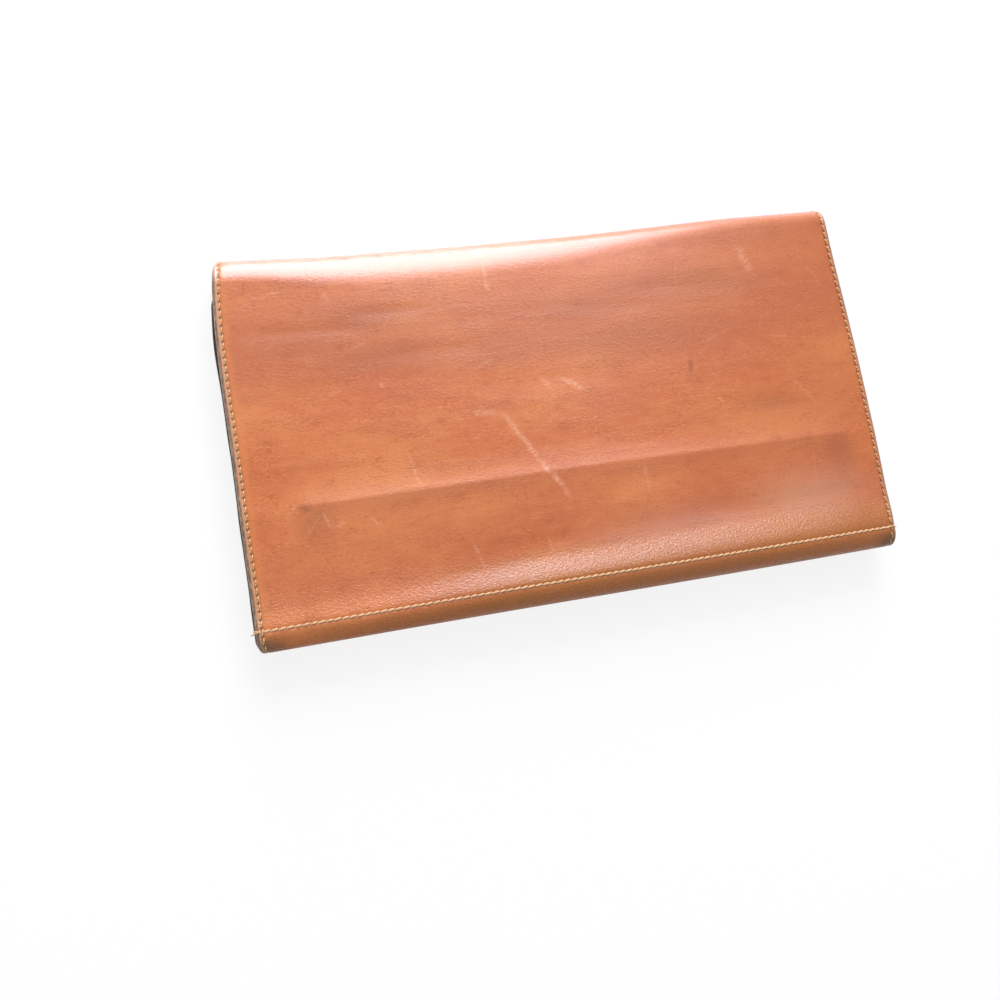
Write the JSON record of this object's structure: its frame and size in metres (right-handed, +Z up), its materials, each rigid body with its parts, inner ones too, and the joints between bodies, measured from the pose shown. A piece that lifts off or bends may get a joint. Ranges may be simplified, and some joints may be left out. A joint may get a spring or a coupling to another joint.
{
  "type": "clutch wallet",
  "caption": "Long fold-over leather clutch wallet with a stitched, turned hem, raw sewn sides, stepped card pockets and a gusseted bill pocket; it opens flat about its fold.",
  "frame": {"origin": "centre of the closed wallet's footprint, on the table that its back half lies on", "axes": "+X along the fold, to the right in the picture; +Y towards the fold; +Z up out of the front cover"},
  "size_m": [0.1796, 0.0996, 0.0122],
  "materials": {
    "cover_leather": "smooth aged vegetable-tanned, burnished, scuffed",
    "pocket_leather": "thin smooth",
    "gusset_leather": "thin dark matt",
    "lining_cloth": "fine plain weave",
    "stiff_board": "bonded fibre board",
    "thread": "waxed cream sewing thread"
  },
  "bodies": {
    "back": {"back_cover": "cover_leather", "back_lining": "lining_cloth", "bill_pocket_wall": "pocket_leather", "slip_pocket": "pocket_leather", "gusset_left": "gusset_leather", "gusset_right": "gusset_leather", "back_left_thread": "thread", "back_right_thread": "thread", "back_hem_thread": "thread"},
    "spine": {"spine_cover": "cover_leather", "spine_lining": "lining_cloth", "spine_left_thread": "thread", "spine_right_thread": "thread"},
    "front": {"front_cover": "cover_leather", "front_stiffener": "stiff_board", "front_lining": "lining_cloth", "card_panel_high": "pocket_leather", "card_panel_middle": "pocket_leather", "card_panel_low": "pocket_leather", "card_divider_thread": "thread", "front_left_thread": "thread", "front_right_thread": "thread", "front_hem_thread": "thread"}
  },
  "joints": [
    {"name": "spine_fold", "type": "hinge", "parent": "back", "child": "spine", "pos_m": [0, 0.04814, 0.00161], "axis": [-1, 0, 0], "range_deg": [0, 89.5]},
    {"name": "cover_fold", "type": "hinge", "parent": "spine", "child": "front", "pos_m": [0, 0.04814, 0.00939], "axis": [-1, 0, 0], "range_deg": [0, 89.5]}
  ],
  "couplings": [
    {"joint": "cover_fold", "follows": "spine_fold", "ratio": 1}
  ]
}
